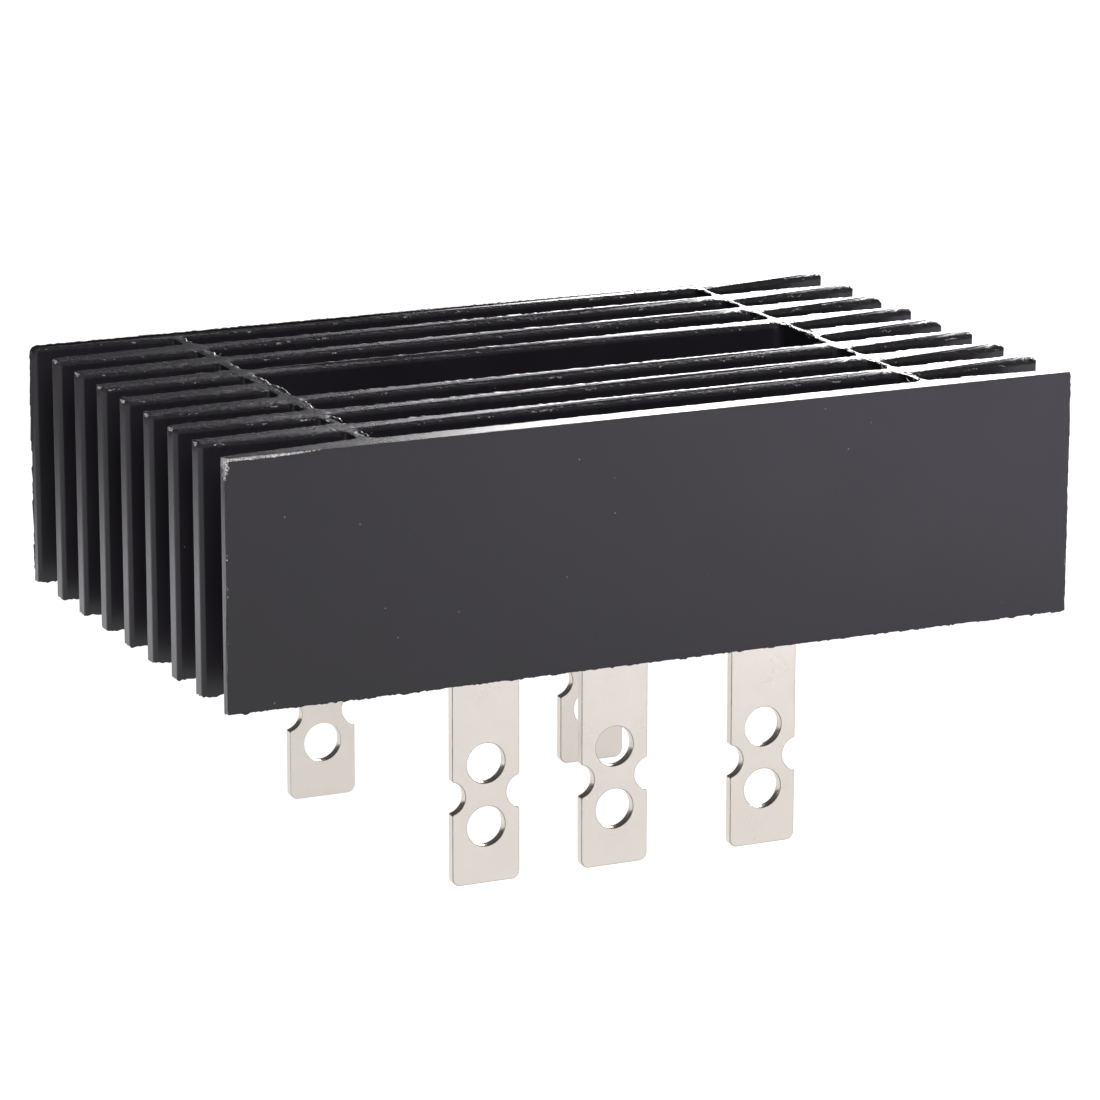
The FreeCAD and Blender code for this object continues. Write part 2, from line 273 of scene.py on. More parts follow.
def end_rings(piece, height, count):
    """Points on the corner round a sawn end, then those of the next rings on its face."""
    level = {point.index for point in piece.data.vertices if abs(point.co.z - height) < TINY}
    pairs = [tuple(edge.vertices) for edge in piece.data.edges]
    flat_pairs = [pair for pair in pairs if level.issuperset(pair)]
    rings = [{index for pair in pairs if not level.issuperset(pair)
              for index in pair if index in level}]
    found = set(rings[0])
    for ring in range(1, count):
        following = {index for pair in flat_pairs if not rings[-1].isdisjoint(pair)
                     for index in pair if index not in found}
        found |= following
        rings.append(following)
    return rings


top_arris, *top_rings = end_rings(sink, sink_high.z, 3)
bottom_arris, *bottom_rings = end_rings(sink, sink_low.z, 2)


def top_share(index, place):
    """How much a point takes part in the wear of the upper end."""
    for ring, share in ((top_arris, 1), (top_rings[0], 0.6), (top_rings[1], 0.2)):
        if index in ring:
            return share
    return 0.4 if abs(place.z - sink_high.z + SHOULDER_BAND) < TINY else 0


def worn_share(index, place):
    """The same, with the front plate spared but for its arris."""
    if place.y < sink_low.y + FIN_PITCH / 2:
        return 0.3 * (index in top_arris)
    return top_share(index, place)


TORN_DEPTH = 0.7 * MM            # the tearing is full this far in front of a fin's middle
LEAST_TEAR = 0.32                # share of it on the left
TEAR_RISE = 20 * MM              # it grows from this far right of the middle, to full at twice that
TIP_EASE = 0.35                  # share of it that the last TIP_REACH of the right fins lose
TIP_REACH = 15 * MM


def front_side(place):
    """1 where the saw left the metal: on the front half of a fin's top and round the roots of
    the right fins. 0 on the rest."""
    offset = place.y - round(place.y / FIN_PITCH) * FIN_PITCH
    on_wall = abs(abs(place.x) - WALL_MIDDLE) < WALL_HALF + 2 * ARRIS_BAND
    if WALL_MIDDLE < place.x < WALL_MIDDLE + ROOT_REACH and abs(offset) > RIB_HALF + ARRIS_BAND:
        return 1
    if place.y < sink_low.y + 2 * RIB_HALF or on_wall and abs(offset) > RIB_HALF + ARRIS_BAND:
        return 0
    return min(1, max(0, -offset / TORN_DEPTH))


def front_share(index, place):
    """How much a point takes part in the torn front side of a fin."""
    strength = LEAST_TEAR + (1 - LEAST_TEAR) * min(1, max(0, place.x / TEAR_RISE - 1))
    strength -= TIP_EASE * max(0, place.x - 2 * TEAR_RISE) / TIP_REACH
    return top_share(index, place) * strength * front_side(place)


def side_share(index, place):
    """How much a point of the upper arris strays sideways; the front face ends cleanly."""
    return (index in top_arris) * (0.3 if place.y < sink_low.y + TINY else 1)


def bottom_share(index, place):
    """How much a point takes part in the burr of the lower end."""
    if index in bottom_arris:
        return 1
    return 0.4 if index in bottom_rings[0] or abs(place.z - sink_low.z - BURR_BAND) < TINY else 0


OUTER_PLATE = 4                  # number of the front and back plates, from the middle one


def corner_share(corners, place):
    """How far a point lies inside one of the damaged corners, 0 to 1."""
    share = 0
    for side, plate, *reach in corners:
        corner = Vector((side * sink_high.x, plate * FIN_PITCH, sink_high.z))
        if abs(plate) == OUTER_PLATE:
            corner.y = math.copysign(sink_high.y, plate)
        away = Vector([(place[axis] - corner[axis]) / (reach[axis] * MM) for axis in range(3)])
        share = max(share, 1 - away.length)
    return share


def tip_share(index, place):
    """Above 0 on the upright outer corners of the front and back plates, more on the left."""
    at_corner = (on_plate_face(place) and abs(place.x) > sink_high.x - TINY
                 and sink_low.z + BURR_BAND + TINY < place.z < sink_high.z - SHOULDER_BAND - TINY)
    return at_corner * (0.35 if place.x > 0 else 0.6 if place.y < 0 else 1)


for point in sink.data.vertices:
    for side, plate, radius in ROUNDED:
        over = Vector((side * point.co.x - sink_high.x, point.co.z - sink_high.z))
        over += Vector((radius, radius)) * MM
        on_plate = abs(point.co.y - plate * FIN_PITCH) < FIN_PITCH / 2
        if on_plate and min(over) > 0 and over.length > radius * MM:
            over *= radius * MM / over.length
            point.co.x = side * (sink_high.x - radius * MM + over.x)
            point.co.z = sink_high.z - radius * MM + over.y
worn_group = weigh(sink, "worn", worn_share)
torn_group = weigh(sink, "torn", front_share)
ragged_group = weigh(sink, "ragged", side_share)
burr_group = weigh(sink, "burr", bottom_share)
tip_group = weigh(sink, "tips", tip_share)
chip_group = weigh(sink, "chips", lambda index, place: corner_share(CHIPPED, place))
on_front = {point.index: front_side(point.co) for point in sink.data.vertices}

# The front and back plates thin out outside the walls. OUTER_REACH takes in all of such a
# plate and nothing of the next one.
OUTER_REACH = 0.6 * FIN_PITCH
for point in sink.data.vertices:
    reach = (abs(point.co.x) - WALL_MIDDLE) / (sink_high.x - WALL_MIDDLE)
    depth = sink_high.y - abs(point.co.y)
    if reach > 0 and depth < OUTER_REACH:
        point.co.y = math.copysign(sink_high.y - depth * (1 - OUTER_TIP_LOSS * reach), point.co.y)

# Wear: name, points, grain and height in mm, level that stays in place, direction, contrast.
WEAR = (("worn_arris", worn_group, 0.5, 0.13, 0.7, "Z", 1.5),
        ("torn_front", torn_group, 0.5, 0.55, 1.25, "Z", 1.6),
        ("ragged_side", ragged_group, 0.5, 0.16, 0.5, "Y", 2.0),
        ("saw_burr", burr_group, 0.45, 0.24, 0.5, "Z", 2.0),
        ("torn_burr", burr_group, 1.6, 0.10, 0.9, "Z", 4.0),
        ("ragged_tip", tip_group, 0.5, 0.36, 0.6, "NORMAL", 2.0),
        ("chip", chip_group, 0.4, 0.35, 0.95, "NORMAL", 2.0))
for wear, group, grain, height, middle, direction, contrast in WEAR:
    roughen(sink, wear, group, grain * MM, height * MM, middle, direction, contrast)


def untouched(face):
    """Face that still lies wholly in an outer face or in the plane of the upper end."""
    places = [sink.data.vertices[index].co for index in face.vertices]
    return (all(abs(abs(place.y) - sink_high.y) < TINY for place in places)
            or all(abs(place.z - sink_high.z) < TINY for place in places))


even_shading(sink, 38, untouched)

# Two attributes for the paint: bare metal, full in the chipped corners and in short runs along the
# sawn arrises, plus a painted highlight of the same bright metal where the front arris catches the
# light; and the torn shoulder behind the arris.
PAINTED_HIGHLIGHT_END = -41 * MM            # painted highlight: the front arris is painted bright bare metal to the left of this
PAINTED_HIGHLIGHT_FADE = 8 * MM
TIP_LINE = 0.3 * MM              # width of the broken bright line down the outer corners
LONG_RUN, SHORT_RUN = 2.5 * MM, 0.6 * MM     # lengths of the bare runs along an arris
bare_and_highlight = sink.data.attributes.new("bare_metal_and_highlight", "FLOAT", "POINT")
shoulder = sink.data.attributes.new("torn_shoulder", "FLOAT", "POINT")
for point in sink.data.vertices:
    spot = point.co
    share = 2.6 * corner_share(CHIPPED[1:], spot)
    if point.index in top_arris or point.index in bottom_arris:
        runs = noise.noise(spot / LONG_RUN) + noise.noise(spot / SHORT_RUN)
        share = max(share, 0.35 + 0.5 * runs)
    if on_plate_face(spot) and abs(spot.x) > sink_high.x - TIP_LINE:
        share = max(share, 0.42 + 0.4 * noise.noise(spot / (2 * SHORT_RUN)))
    # Painted highlight: along the front plate's upper arris the bare metal share is set here,
    # rising to full bright metal towards the left end, where the arris catches the light.
    if point.index in top_arris and spot.y < sink_low.y + ARRIS_BAND:
        share = 0.3 + 1.1 * min(1, max(0, (PAINTED_HIGHLIGHT_END - spot.x) / PAINTED_HIGHLIGHT_FADE))
    bare_and_highlight.data[point.index].value = max(0, share)
    for ring, share in ((top_arris, 1), (top_rings[0], 0.7), (top_rings[1], 0.35)):
        if point.index in ring:
            shoulder.data[point.index].value = share * on_front[point.index]

# Satin black paint on aluminium: almost black, a soft even gloss with a fine orange peel, rougher
# on the sawn faces, with bright bare metal where it has chipped off and as a painted highlight
# along the left of the front arris. A pattern's scale is its number of grains per metre: clouds in
# the coat
# 11 mm wide, dust specks 1.5 mm apart, orange peel 0.45 mm, edges of chips 0.3 mm and saw grit 0.2
# mm.
paint, tree = new_material("satin_black_paint")
place = add(tree, "TexCoord").outputs["Object"]
facing = add(tree, "SeparateXYZ", {0: add(tree, "TexCoord").outputs["Normal"]})
sawn = add(tree, "Math", {0: facing.outputs["Z"], 1: facing.outputs["Z"]}, operation="MULTIPLY")
mottle = add(tree, "TexNoise", {"Vector": place, "Scale": 90.0, "Detail": 4.0})
peel = add(tree, "TexNoise", {"Vector": place, "Scale": 2200.0, "Detail": 2.0})
grit = add(tree, "TexNoise", {"Vector": place, "Scale": 5200.0, "Detail": 3.0})
chip_noise = add(tree, "TexNoise", {"Vector": place, "Scale": 3500.0, "Detail": 3.0})
# Bare metal of the chips and arrises, together with the painted highlight on the left of the front
# arris.
bare_and_highlight_weight = add(tree, "Attribute", attribute_name="bare_metal_and_highlight")
chip_and_highlight_sum = add(tree, "Math", {0: bare_and_highlight_weight.outputs["Fac"], 1: chip_noise.outputs["Fac"]},
               operation="ADD")
small_chips_and_highlight = add(tree, "MapRange", {"Value": chip_and_highlight_sum.outputs[0], "From Min": 1.12,
                                     "From Max": 1.2})
# The large chip at the front plate's upper left corner: a ragged sliver down the edge.
LARGE_CHIP = Vector((0.6, 1.2, 2.8)) * MM
corner = Vector((sink_low.x, sink_low.y, sink_high.z))
from_corner = add(tree, "Mapping", {"Vector": place, "Location": corner, "Scale": LARGE_CHIP},
                  vector_type="TEXTURE")
far = add(tree, "VectorMath", {0: from_corner.outputs[0]}, operation="LENGTH")
sliver = add(tree, "Math", {0: chip_noise.outputs["Fac"], 1: 1.6, 2: far.outputs["Value"]},
             operation="MULTIPLY_ADD")
large_chip = add(tree, "MapRange", {"Value": sliver.outputs[0], "From Min": 1.65, "From Max": 1.55})
chips_and_highlight = add(tree, "Math", {0: small_chips_and_highlight.outputs[0], 1: large_chip.outputs[0]},
              operation="MAXIMUM")
coat = add(tree, "Mix", {"Factor": mottle.outputs["Fac"], "A": colour("#141116"),
                         "B": colour("#1b181e")}, data_type="RGBA")
dots = add(tree, "TexVoronoi", {"Vector": place, "Scale": 650.0})
few = add(tree, "SeparateColor", {0: dots.outputs["Color"]})
kept = add(tree, "Math", {0: few.outputs["Red"], 1: 0.92}, operation="GREATER_THAN")
dot = add(tree, "MapRange", {"Value": dots.outputs["Distance"], "From Min": 0.075,
                             "From Max": 0.045, "To Max": 0.55})
dust = add(tree, "Math", {0: dot.outputs[0], 1: kept.outputs[0]}, operation="MULTIPLY")
dusty = add(tree, "Mix", {"Factor": dust.outputs[0], "A": coat.outputs["Result"],
                          "B": colour("#8f8d96")}, data_type="RGBA")
spotted = add(tree, "MapRange", {"Value": grit.outputs["Fac"], "From Min": 0.4, "From Max": 0.6})
# Bright metal tone: real bare aluminium in the chips, and also the painted highlight along the
# front arris.
metal_and_highlight_tone = add(tree, "Mix", {"Factor": spotted.outputs[0], "A": colour("#69676a"),
                          "B": colour("#d0cecc")}, data_type="RGBA")
skin = add(tree, "Mix", {"Factor": chips_and_highlight.outputs[0], "A": dusty.outputs["Result"],
                         "B": metal_and_highlight_tone.outputs["Result"]}, data_type="RGBA")
gloss = add(tree, "MapRange", {"Value": mottle.outputs["Fac"], "To Min": 0.30, "To Max": 0.40})
face_gloss = add(tree, "Math", {0: sawn.outputs[0], 1: -0.08, 2: gloss.outputs[0]},
                 operation="MULTIPLY_ADD")
torn_weight = add(tree, "Attribute", attribute_name="torn_shoulder")
torn_sum = add(tree, "Math", {0: torn_weight.outputs["Fac"], 1: chip_noise.outputs["Fac"]},
               operation="ADD")
torn_spots = add(tree, "MapRange", {"Value": torn_sum.outputs[0], "From Min": 0.80,
                                    "From Max": 0.88})
matt = add(tree, "Math", {0: torn_spots.outputs[0], 1: 0.45, 2: face_gloss.outputs[0]},
           operation="MULTIPLY_ADD")
saw_height = add(tree, "Math", {0: grit.outputs["Fac"], 1: sawn.outputs[0]}, operation="MULTIPLY")
torn_height = add(tree, "Math", {0: chip_noise.outputs["Fac"], 1: torn_spots.outputs[0]},
                  operation="MULTIPLY")
relief = add(tree, "Math", {0: peel.outputs["Fac"], 1: 0.5, 2: saw_height.outputs[0]},
             operation="MULTIPLY_ADD")
rough_relief = add(tree, "Math", {0: torn_height.outputs[0], 1: 3.0, 2: relief.outputs[0]},
                   operation="MULTIPLY_ADD")
bump = add(tree, "Bump", {"Height": rough_relief.outputs[0], "Strength": 0.35,
                          "Distance": 0.01 * MM})
dull = add(tree, "Math", {0: chips_and_highlight.outputs[0], 1: 0.25, 2: matt.outputs[0]},
           operation="MULTIPLY_ADD")
metallic = add(tree, "Math", {0: chips_and_highlight.outputs[0], 1: 0.6}, operation="MULTIPLY")
shader = add(tree, "BsdfPrincipled", {
    "Base Color": skin.outputs["Result"], "Roughness": dull.outputs[0],
    "Metallic": metallic.outputs[0], "Normal": bump.outputs[0], "IOR": 1.45})
add(tree, "OutputMaterial", {"Surface": shader.outputs["BSDF"]})
sink.data.materials.append(paint)


# Saw burrs: thin bright lips of aluminium that the saw turned up along the inner edges of
# the two cross walls, with a few curled slivers still hanging on. Part of the same metal.
WALL_FACE = WALL_MIDDLE - WALL_HALF
CELL_CORNER = 1.0 * MM
LIP_THICKNESS = 0.09 * MM
LIP_STEP = 0.25 * MM
RIB_PLACES = (-4, -3, -2, -1, 1, 2, 3, 4)   # in fin pitches; the middle rib is missing
CURL_WIRE = 0.035 * MM
CURL_PLACES = ((36.2, 3.1, 0.5), (35.2, 11.0, 0.7), (34.9, -5.4, 0.5), (35.8, -21.1, 0.4),
               (35.3, -28.7, 0.5), (38.5, -29.6, 0.4), (41.0, 31.6, 0.4), (37.6, 1.2, 0.4),
               (-36.6, -20.5, 0.5), (-35.5, -28.6, 0.5), (-35.5, 19.4, 0.5),
               (-35.8, -12.0, 0.4))          # x, y and radius in mm

# Raw aluminium, torn by the saw: bright, a little rough, slightly warm.
torn_metal, tree = new_material("torn_aluminium")
place = add(tree, "TexCoord").outputs["Object"]
streak = add(tree, "TexNoise", {"Vector": place, "Scale": 3000.0, "Detail": 3.0})
tone = add(tree, "Mix", {"Factor": streak.outputs["Fac"], "A": colour("#a9a7a5"),
                         "B": colour("#e2e0dd")}, data_type="RGBA")
shade = add(tree, "MapRange", {"Value": streak.outputs["Fac"], "To Min": 0.3, "To Max": 0.55})
shader = add(tree, "BsdfPrincipled", {"Base Color": tone.outputs["Result"], "Metallic": 1.0,
                                      "Roughness": shade.outputs[0]})
add(tree, "OutputMaterial", {"Surface": shader.outputs["BSDF"]})


def lip(name, x, front, back):
    """Thin wavy thread of burr along the sawn edge of a cross wall, from front to back."""
    bpy.ops.mesh.primitive_cylinder_add(vertices=6, radius=LIP_THICKNESS, depth=back - front,
                                        location=(x, (front + back) / 2, sink_high.z),
                                        rotation=(math.pi / 2, 0, 0))
    thread = bpy.context.object
    bpy.ops.object.transform_apply()
    rows = round((back - front) / LIP_STEP)
    for row in range(1, rows):
        level = front + (back - front) * row / rows
        bpy.ops.object.mode_set(mode="EDIT")
        bpy.ops.mesh.select_all(action="SELECT")
        bpy.ops.mesh.bisect(plane_co=(0, level, 0), plane_no=(0, 1, 0))
        bpy.ops.object.mode_set(mode="OBJECT")
    loose = weigh(thread, "loose", lambda index, place: 1)
    roughen(thread, name + "_width", loose, grain=0.5 * MM, height=0.12 * MM, middle=0.5)
    roughen(thread, name + "_lift", loose, grain=2.5 * MM, height=0.5 * MM, middle=0.35,
            direction="Z")
    roughen(thread, name + "_lean", loose, grain=3.5 * MM, height=0.7 * MM, middle=0.5,
            direction="X")
    bpy.ops.object.shade_smooth()
    return thread


lips = [lip("lip", side * WALL_FACE, first * FIN_PITCH + RIB_HALF + CELL_CORNER,
            second * FIN_PITCH - RIB_HALF - CELL_CORNER)
        for side in (-1, 1) for first, second in zip(RIB_PLACES, RIB_PLACES[1:])]

# One curl: a hair of metal bent round most of a turn, copied to where slivers hang.
bpy.ops.mesh.primitive_circle_add(vertices=5, radius=CURL_WIRE, fill_type="NGON",
                                  location=(1 * MM, 0, 0), rotation=(math.pi / 2, 0, 0))
curl = bpy.context.object
bpy.ops.object.transform_apply()
bpy.ops.object.mode_set(mode="EDIT")
bpy.ops.mesh.select_all(action="SELECT")
bpy.ops.mesh.spin(steps=18, angle=math.radians(235), center=(0, 0, 0), axis=(0, 0, 1))
bpy.ops.mesh.select_all(action="SELECT")
bpy.ops.mesh.normals_make_consistent(inside=False)
bpy.ops.object.mode_set(mode="OBJECT")
random.seed(7)
curls = []
for x, y, radius in CURL_PLACES:
    hair = curl.copy()
    hair.data = curl.data.copy()
    bpy.context.scene.collection.objects.link(hair)
    turn = (Matrix.Rotation(random.uniform(0, math.tau), 4, "Z")
            @ Matrix.Rotation(random.uniform(0.3, 1.3), 4, "X"))
    hair.data.transform(Matrix.Translation((x * MM, y * MM, sink_high.z)) @ turn
                        @ Matrix.Scale(radius, 4))
    curls.append(hair)
bpy.data.objects.remove(curl)
work_on(lips[0])
for part in (*lips, *curls):
    part.select_set(True)
bpy.ops.object.join()
burrs = bpy.context.object
burrs.name = burrs.data.name = "saw_burrs"
burrs.matrix_world = Matrix.Identity(4)
burrs.vertex_groups.clear()
burrs.data.materials.clear()
burrs.data.materials.append(torn_metal)
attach(burrs, "root")


# Terminals: strips stamped from brass sheet and nickel plated, two screw holes and a
# notch in each edge. The die leaves the arrises slightly rolled.
TERMINALS = ("terminal_negative", "terminal_positive", "terminal_ac_1", "terminal_ac_2",
             "terminal_ac_3")
ROLLED_EDGE = 0.09 * MM

# Bright nickel plate: a warm, slightly milky metal with faint rolling lines and pits.
nickel, tree = new_material("nickel_plate")
place = add(tree, "TexCoord").outputs["Object"]
cloud = add(tree, "TexNoise", {"Vector": place, "Scale": 260.0, "Detail": 4.0})
tone = add(tree, "Mix", {"Factor": cloud.outputs["Fac"], "A": colour("#d3ccc4"),
                         "B": colour("#ded7d0")}, data_type="RGBA")
gloss = add(tree, "MapRange", {"Value": cloud.outputs["Fac"], "To Min": 0.24, "To Max": 0.34})
rolled = add(tree, "Mapping", {"Vector": place, "Scale": (1.0, 1.0, 0.12)})
grain = add(tree, "TexNoise", {"Vector": rolled.outputs[0], "Scale": 5000.0, "Detail": 2.0})
pits = add(tree, "TexVoronoi", {"Vector": place, "Scale": 900.0})
some = add(tree, "SeparateColor", {0: pits.outputs["Color"]})
kept = add(tree, "Math", {0: some.outputs["Red"], 1: 0.9}, operation="GREATER_THAN")
pit = add(tree, "MapRange", {"Value": pits.outputs["Distance"], "From Min": 0.07, "From Max": 0.03})
pitted = add(tree, "Math", {0: pit.outputs[0], 1: kept.outputs[0]}, operation="MULTIPLY")
worn_tone = add(tree, "Mix", {"Factor": pitted.outputs[0], "A": tone.outputs["Result"],
                              "B": colour("#857e76")}, data_type="RGBA")
depth = add(tree, "Math", {0: pitted.outputs[0], 1: -1.0, 2: grain.outputs["Fac"]},
            operation="MULTIPLY_ADD")
bump = add(tree, "Bump", {"Height": depth.outputs[0], "Strength": 0.12, "Distance": 0.006 * MM})
shader = add(tree, "BsdfPrincipled", {
    "Base Color": worn_tone.outputs["Result"], "Metallic": 1.0, "Roughness": gloss.outputs[0],
    "Normal": bump.outputs[0]})
add(tree, "OutputMaterial", {"Surface": shader.outputs["BSDF"]})

# The arrises, burnished by the die: darker and duller in short runs.
arris, tree = new_material("burnished_arris")
place = add(tree, "TexCoord").outputs["Object"]
run = add(tree, "TexNoise", {"Vector": place, "Scale": 700.0, "Detail": 3.0})
tone = add(tree, "Mix", {"Factor": run.outputs["Fac"], "A": colour("#5f5a56"),
                         "B": colour("#b5aea8")}, data_type="RGBA")
gloss = add(tree, "MapRange", {"Value": run.outputs["Fac"], "To Min": 0.3, "To Max": 0.45})
shader = add(tree, "BsdfPrincipled", {"Base Color": tone.outputs["Result"], "Metallic": 1.0,
                                      "Roughness": gloss.outputs[0]})
add(tree, "OutputMaterial", {"Surface": shader.outputs["BSDF"]})

for name in TERMINALS:
    strip = merged_copy(name, "stamped_" + name)
    strip.data.materials.append(nickel)
    strip.data.materials.append(arris)
    edge = strip.modifiers.new("rolled_edge", "BEVEL")
    edge.material = 1
    edge.width = ROLLED_EDGE
    edge.segments = 2
    edge.limit_method = "ANGLE"
    edge.angle_limit = math.radians(50)
    work_on(strip)
    bpy.ops.object.modifier_apply(modifier="rolled_edge")
    even_shading(strip, 35)


# Base plate: a milled aluminium plate that closes the cells from below. It shows at the
# bottom of the cells, under the ribs that stand on it.
# Milled aluminium: bright, with fine parallel tool marks.
milled, tree = new_material("milled_aluminium")
place = add(tree, "TexCoord").outputs["Object"]
along = add(tree, "Mapping", {"Vector": place, "Scale": (0.06, 1.0, 1.0)})
marks = add(tree, "TexNoise", {"Vector": along.outputs[0], "Scale": 3200.0, "Detail": 3.0})
stain = add(tree, "TexNoise", {"Vector": place, "Scale": 140.0, "Detail": 3.0})
tone = add(tree, "Mix", {"Factor": stain.outputs["Fac"], "A": colour("#a9aaad"),
                         "B": colour("#c6c7c9")}, data_type="RGBA")
gloss = add(tree, "MapRange", {"Value": marks.outputs["Fac"], "To Min": 0.28, "To Max": 0.5})
bump = add(tree, "Bump", {"Height": marks.outputs["Fac"], "Strength": 0.4, "Distance": 0.01 * MM})
shader = add(tree, "BsdfPrincipled", {"Base Color": tone.outputs["Result"], "Metallic": 1.0,
                                      "Roughness": gloss.outputs[0], "Normal": bump.outputs[0]})
add(tree, "OutputMaterial", {"Surface": shader.outputs["BSDF"]})


def dress(nodes, material):
    """Gives CAD nodes that stay as they are a material."""
    for name in nodes:
        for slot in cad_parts[name].material_slots:
            slot.material = material


dress(["base_plate"], milled)

# Insulating sheet: a ceramic tile between the base plate and the live copper.
# Fired alumina: off-white, satin, finely grained.
alumina, tree = new_material("fired_alumina")
place = add(tree, "TexCoord").outputs["Object"]
grain = add(tree, "TexNoise", {"Vector": place, "Scale": 6000.0, "Detail": 2.0})
cloud = add(tree, "TexNoise", {"Vector": place, "Scale": 220.0, "Detail": 3.0})
tone = add(tree, "Mix", {"Factor": cloud.outputs["Fac"], "A": colour("#e6e2d9"),
                         "B": colour("#f2efe9")}, data_type="RGBA")
gloss = add(tree, "MapRange", {"Value": grain.outputs["Fac"], "To Min": 0.42, "To Max": 0.6})
bump = add(tree, "Bump", {"Height": grain.outputs["Fac"], "Strength": 0.3, "Distance": 0.005 * MM})
shader = add(tree, "BsdfPrincipled", {"Base Color": tone.outputs["Result"],
                                      "Roughness": gloss.outputs[0], "Normal": bump.outputs[0]})
add(tree, "OutputMaterial", {"Surface": shader.outputs["BSDF"]})
dress(["insulating_sheet"], alumina)

# Copper conductors and clips inside the potting: pads, bars and bent strip.
# Bare copper: warm, satin, slightly darkened in clouds.
copper, tree = new_material("bare_copper")
place = add(tree, "TexCoord").outputs["Object"]
cloud = add(tree, "TexNoise", {"Vector": place, "Scale": 420.0, "Detail": 4.0})
grain = add(tree, "TexNoise", {"Vector": place, "Scale": 4000.0, "Detail": 2.0})
tone = add(tree, "Mix", {"Factor": cloud.outputs["Fac"], "A": colour("#a65f45"),
                         "B": colour("#cf8a6c")}, data_type="RGBA")
gloss = add(tree, "MapRange", {"Value": cloud.outputs["Fac"], "To Min": 0.45, "To Max": 0.28})
bump = add(tree, "Bump", {"Height": grain.outputs["Fac"], "Strength": 0.2, "Distance": 0.006 * MM})
shader = add(tree, "BsdfPrincipled", {"Base Color": tone.outputs["Result"], "Metallic": 1.0,
                                      "Roughness": gloss.outputs[0], "Normal": bump.outputs[0]})
add(tree, "OutputMaterial", {"Surface": shader.outputs["BSDF"]})
PHASES = (1, 2, 3)
dress([f"{kind}_{phase}" for phase in PHASES for kind in ("ac_pad", "lower_clip", "upper_clip")]
      + ["negative_bar", "positive_bus"], copper)

# Diodes: silicon chips between tinned contact plates, buried in the potting.
# Soldered silicon: a dark glassy band at half height, dull tin above and below.
silicon, tree = new_material("soldered_silicon")
place = add(tree, "TexCoord").outputs["Object"]
height = add(tree, "SeparateXYZ", {0: place})
diode_low, diode_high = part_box("lower_diode_1")
chip_middle = (diode_low.z + diode_high.z) / 2
CHIP_HALF = 0.31 * MM
level = add(tree, "Math", {0: height.outputs["Z"], 1: chip_middle}, operation="SUBTRACT")
away = add(tree, "Math", {0: level.outputs[0]}, operation="ABSOLUTE")
tinned = add(tree, "Math", {0: away.outputs[0], 1: CHIP_HALF}, operation="GREATER_THAN")
blotch = add(tree, "TexNoise", {"Vector": place, "Scale": 900.0, "Detail": 3.0})
tin = add(tree, "Mix", {"Factor": blotch.outputs["Fac"], "A": colour("#9fa09f"),
                        "B": colour("#c2c2bf")}, data_type="RGBA")
chip = add(tree, "Mix", {"Factor": blotch.outputs["Fac"], "A": colour("#2b2f36"),
                         "B": colour("#3c414a")}, data_type="RGBA")
tone = add(tree, "Mix", {"Factor": tinned.outputs[0], "A": chip.outputs["Result"],
                         "B": tin.outputs["Result"]}, data_type="RGBA")
gloss = add(tree, "MapRange", {"Value": blotch.outputs["Fac"], "To Min": 0.3, "To Max": 0.5})
bump = add(tree, "Bump", {"Height": blotch.outputs["Fac"], "Strength": 0.3, "Distance": 0.01 * MM})
shader = add(tree, "BsdfPrincipled", {
    "Base Color": tone.outputs["Result"], "Metallic": tinned.outputs[0],
    "Roughness": gloss.outputs[0], "Normal": bump.outputs[0]})
add(tree, "OutputMaterial", {"Surface": shader.outputs["BSDF"]})
dress([f"{kind}_diode_{phase}" for phase in PHASES for kind in ("lower", "upper")], silicon)

# Potting: black epoxy cast into the pocket round the terminals, level and a little wavy.
# Cast epoxy: glossy black with slow waves and a few burst bubbles.
epoxy, tree = new_material("cast_epoxy")
place = add(tree, "TexCoord").outputs["Object"]
waves = add(tree, "TexNoise", {"Vector": place, "Scale": 170.0, "Detail": 2.0})
fine = add(tree, "TexNoise", {"Vector": place, "Scale": 2600.0, "Detail": 2.0})
bubbles = add(tree, "TexVoronoi", {"Vector": place, "Scale": 300.0})
some = add(tree, "SeparateColor", {0: bubbles.outputs["Color"]})
kept = add(tree, "Math", {0: some.outputs["Red"], 1: 0.75}, operation="GREATER_THAN")
bubble = add(tree, "MapRange", {"Value": bubbles.outputs["Distance"], "From Min": 0.1,
                                "From Max": 0.04})
burst = add(tree, "Math", {0: bubble.outputs[0], 1: kept.outputs[0]}, operation="MULTIPLY")
swell = add(tree, "Math", {0: waves.outputs["Fac"], 1: 12.0, 2: fine.outputs["Fac"]},
            operation="MULTIPLY_ADD")
relief = add(tree, "Math", {0: burst.outputs[0], 1: -6.0, 2: swell.outputs[0]},
             operation="MULTIPLY_ADD")
tone = add(tree, "Mix", {"Factor": waves.outputs["Fac"], "A": colour("#121214"),
                         "B": colour("#1d1d1f")}, data_type="RGBA")
gloss = add(tree, "MapRange", {"Value": fine.outputs["Fac"], "To Min": 0.2, "To Max": 0.36})
bump = add(tree, "Bump", {"Height": relief.outputs[0], "Strength": 0.5, "Distance": 0.02 * MM})
shader = add(tree, "BsdfPrincipled", {"Base Color": tone.outputs["Result"],
                                      "Roughness": gloss.outputs[0], "Normal": bump.outputs[0]})
add(tree, "OutputMaterial", {"Surface": shader.outputs["BSDF"]})
dress(["potting"], epoxy)


# Studio: a glowing white table, a broad box high in front and one low behind on the right,
# whose light runs along the sawn top faces.
FLOOR_SIZE = 8.0

bpy.context.scene.view_settings.view_transform = "Standard"
world = bpy.data.worlds.new("dim_room")
world.use_nodes = True
world.node_tree.nodes["Background"].inputs["Color"].default_value = colour("#b4b6ba")
world.node_tree.nodes["Background"].inputs["Strength"].default_value = 0.18
bpy.context.scene.world = world

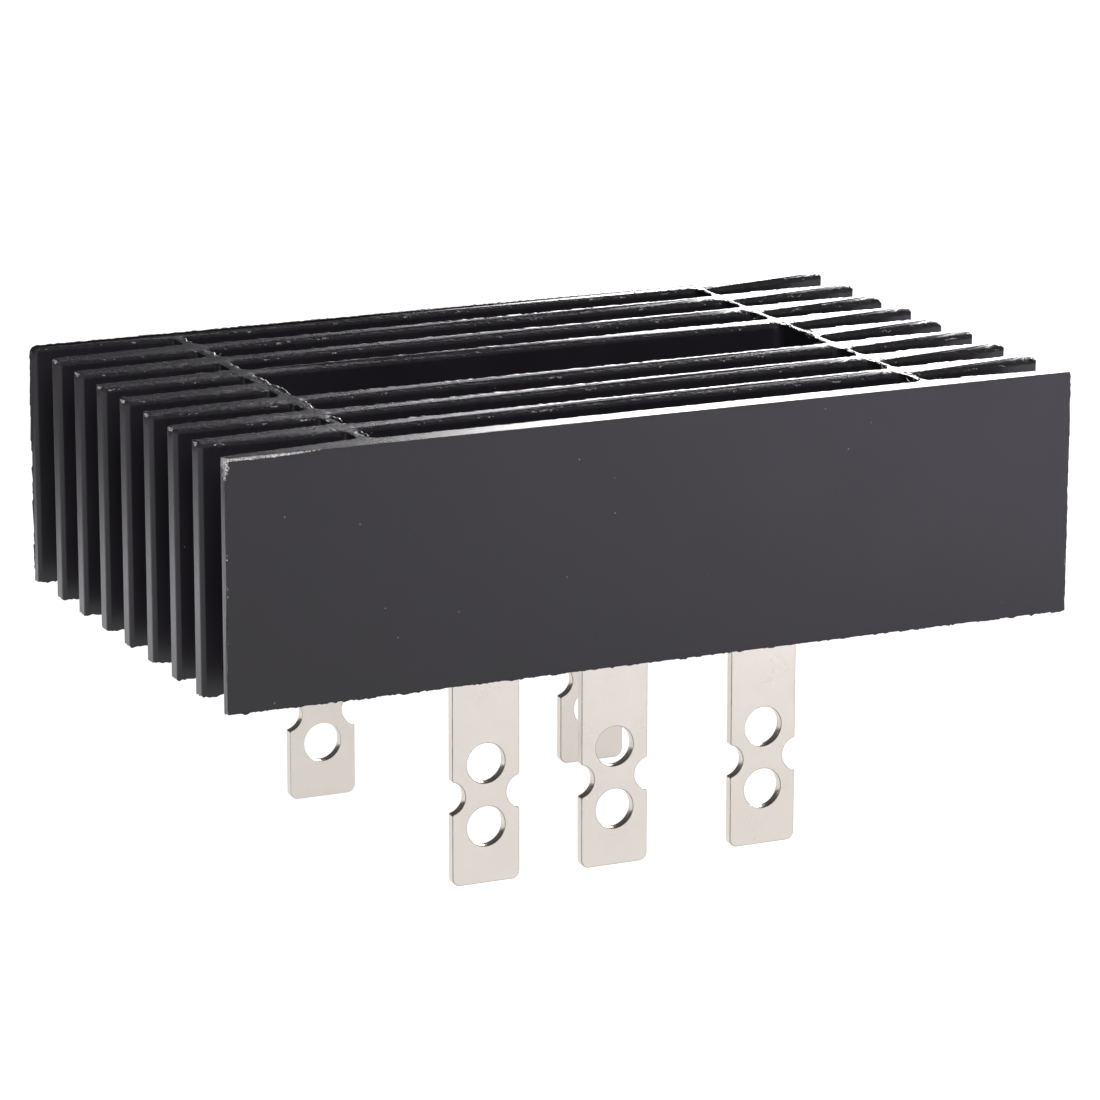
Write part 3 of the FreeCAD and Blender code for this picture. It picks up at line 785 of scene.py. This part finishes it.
bpy.ops.mesh.primitive_plane_add(size=FLOOR_SIZE, location=(0, 0, 0))
floor = bpy.context.object
floor.name = "white_table"
table, tree = new_material("white_table")
shader = add(tree, "BsdfPrincipled", {"Base Color": colour("#5c5c5c"), "Roughness": 0.9,
                                      "Emission Color": colour("#ffffff"),
                                      "Emission Strength": 0.98})
below = add(tree, "NewGeometry")
clear = add(tree, "BsdfTransparent")
one_sided = add(tree, "MixShader", {0: below.outputs["Backfacing"], 1: shader.outputs["BSDF"],
                                    2: clear.outputs["BSDF"]})
add(tree, "OutputMaterial", {"Surface": one_sided.outputs["Shader"]})
floor.data.materials.append(table)


def soft_box(name, place, target, width, height, power, tint="#ffffff", spread=180):
    """Large area light that faces a point."""
    light = bpy.data.lights.new(name, "AREA")
    light.shape = "RECTANGLE"
    light.size = width
    light.size_y = height
    light.energy = power
    light.color = colour(tint)[:3]
    light.spread = math.radians(spread)
    lamp = bpy.data.objects.new(name, light)
    bpy.context.scene.collection.objects.link(lamp)
    lamp.location = place
    lamp.rotation_euler = (Vector(target) - Vector(place)).to_track_quat("-Z", "Y").to_euler()


# The two small boxes hang low and light only the table, which the front plate and the fin
# ends mirror.
soft_box("high_front_box", (-0.35, -1.25, 1.05), target=(0, 0, 0.03), width=1.2, height=1.0,
         power=28)
soft_box("back_right_box", (0.828, 0.893, 0.30), target=(0, 0, 0.05), width=0.8, height=0.5,
         power=14)
soft_box("front_right_box", (0.18, -0.25, 0.22), target=(0.18, -0.25, 0), width=0.12,
         height=0.12, power=2.4, tint="#ece6ff", spread=70)
soft_box("back_left_box", (-0.13, 0.12, 0.18), target=(-0.13, 0.12, 0), width=0.05,
         height=0.05, power=0.4, tint="#f4f2ff", spread=50)

# Black flag on the table behind on the left, out of the picture: it darkens what the
# upper part of the fin ends mirrors.
FLAG_WIDTH, FLAG_DEPTH = 0.62, 0.57
bpy.ops.mesh.primitive_plane_add(size=1, location=(-0.40, 0.44, 0.002))
flag = bpy.context.object
flag.name = "black_flag"
flag.data.transform(Matrix.Diagonal((FLAG_WIDTH, FLAG_DEPTH, 1, 1)))
felt, tree = new_material("black_felt")
shader = add(tree, "BsdfPrincipled", {"Base Color": colour("#101010"), "Roughness": 1.0})
add(tree, "OutputMaterial", {"Surface": shader.outputs["BSDF"]})
flag.data.materials.append(felt)
flag.visible_camera = False
